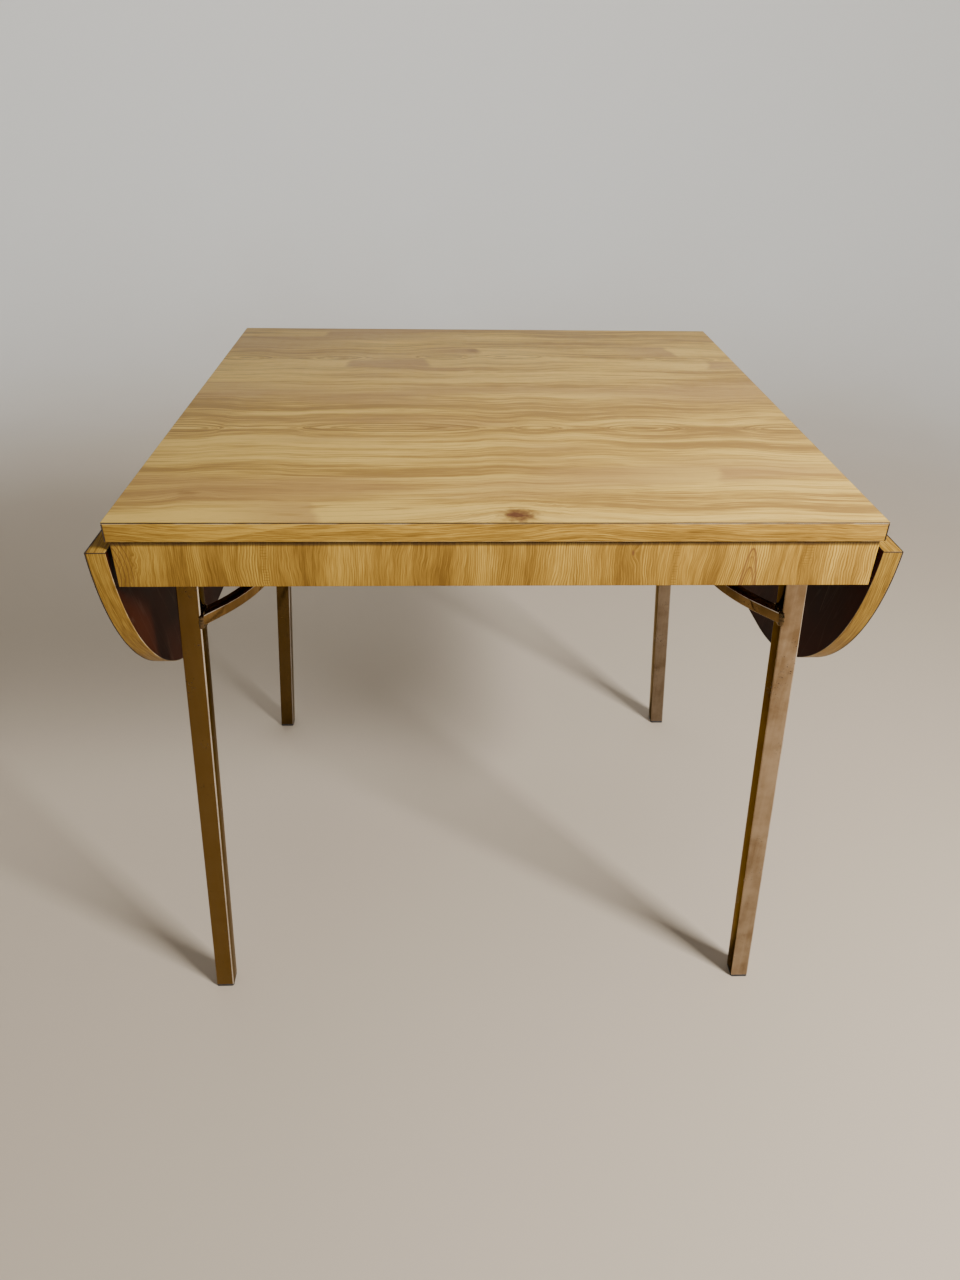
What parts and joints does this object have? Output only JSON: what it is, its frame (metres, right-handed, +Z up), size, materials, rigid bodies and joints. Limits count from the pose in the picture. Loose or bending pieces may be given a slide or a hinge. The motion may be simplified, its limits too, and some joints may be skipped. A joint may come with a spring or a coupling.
{
  "type": "drop-leaf dining table",
  "caption": "Square drop-leaf dining table with a wood-print laminate top, leaves hinged at both sides, a shallow apron and splayed chrome tube legs with bowed stretchers.",
  "frame": {"origin": "on the floor under the middle of the table top, level with the underside of the glides", "axes": "+Z up, +X across the table towards the right-hand leaf, -Y towards the front apron that faces the picture's camera"},
  "size_m": [0.8068, 0.762, 0.762],
  "materials": {
    "wood_print": "satin plastic laminate printed with honey-coloured wood grain",
    "edge_strip": "satin plastic laminate strip printed with wood grain, dark at its cut edges",
    "chipboard": "raw chipboard",
    "brown_sheet": "semi-gloss dark brown backing laminate",
    "solid_wood": "raw wood",
    "chrome": "chrome plate with fine pitting",
    "zinc_steel": "zinc-plated steel",
    "black_plastic": "black plastic"
  },
  "bodies": {
    "frame": {"back_apron": "wood_print", "back_left_corner_block": "solid_wood", "back_left_glide": "black_plastic", "back_left_hinge_fixed_plate": "zinc_steel", "back_left_hinge_pin": "zinc_steel", "back_left_leg": "chrome", "back_left_leg_plate": "zinc_steel", "back_right_corner_block": "solid_wood", "back_right_glide": "black_plastic", "back_right_hinge_fixed_plate": "zinc_steel", "back_right_hinge_pin": "zinc_steel", "back_right_leg": "chrome", "back_right_leg_plate": "zinc_steel", "front_apron": "wood_print", "front_left_corner_block": "solid_wood", "front_left_glide": "black_plastic", "front_left_hinge_fixed_plate": "zinc_steel", "front_left_hinge_pin": "zinc_steel", "front_left_leg": "chrome", "front_left_leg_plate": "zinc_steel", "front_right_corner_block": "solid_wood", "front_right_glide": "black_plastic", "front_right_hinge_fixed_plate": "zinc_steel", "front_right_hinge_pin": "zinc_steel", "front_right_leg": "chrome", "front_right_leg_plate": "zinc_steel", "left_apron": "wood_print", "left_bolt_guide": "zinc_steel", "left_stretcher": "chrome", "right_apron": "wood_print", "right_bolt_guide": "zinc_steel", "right_stretcher": "chrome", "top_back_edge": "edge_strip", "top_backer": "brown_sheet", "top_core": "chipboard", "top_front_edge": "edge_strip", "top_laminate": "wood_print", "top_left_edge": "edge_strip", "top_right_edge": "edge_strip"},
    "left_leaf": {"back_left_hinge_leaf_plate": "zinc_steel", "front_left_hinge_leaf_plate": "zinc_steel", "left_leaf_backer": "brown_sheet", "left_leaf_core": "chipboard", "left_leaf_joint_strip": "edge_strip", "left_leaf_laminate": "wood_print", "left_leaf_rim": "edge_strip", "left_stay_arm": "zinc_steel"},
    "right_leaf": {"back_right_hinge_leaf_plate": "zinc_steel", "front_right_hinge_leaf_plate": "zinc_steel", "right_leaf_backer": "brown_sheet", "right_leaf_core": "chipboard", "right_leaf_joint_strip": "edge_strip", "right_leaf_laminate": "wood_print", "right_leaf_rim": "edge_strip", "right_stay_arm": "zinc_steel"},
    "left_bolt": {"left_bolt_knob": "black_plastic", "left_lock_bolt": "zinc_steel"},
    "right_bolt": {"right_bolt_knob": "black_plastic", "right_lock_bolt": "zinc_steel"}
  },
  "joints": [
    {"name": "left_leaf_hinge", "type": "hinge", "parent": "frame", "child": "left_leaf", "pos_m": [-0.3762, 0, 0.7348], "axis": [0, 1, 0], "range_deg": [0, 90]},
    {"name": "right_leaf_hinge", "type": "hinge", "parent": "frame", "child": "right_leaf", "pos_m": [0.3762, 0, 0.7348], "axis": [0, -1, 0], "range_deg": [0, 90]},
    {"name": "left_bolt_slide", "type": "slide", "parent": "frame", "child": "left_bolt", "axis": [0, 1, 0], "range_m": [0, 0.01]},
    {"name": "right_bolt_slide", "type": "slide", "parent": "frame", "child": "right_bolt", "axis": [0, 1, 0], "range_m": [0, 0.01]}
  ]
}
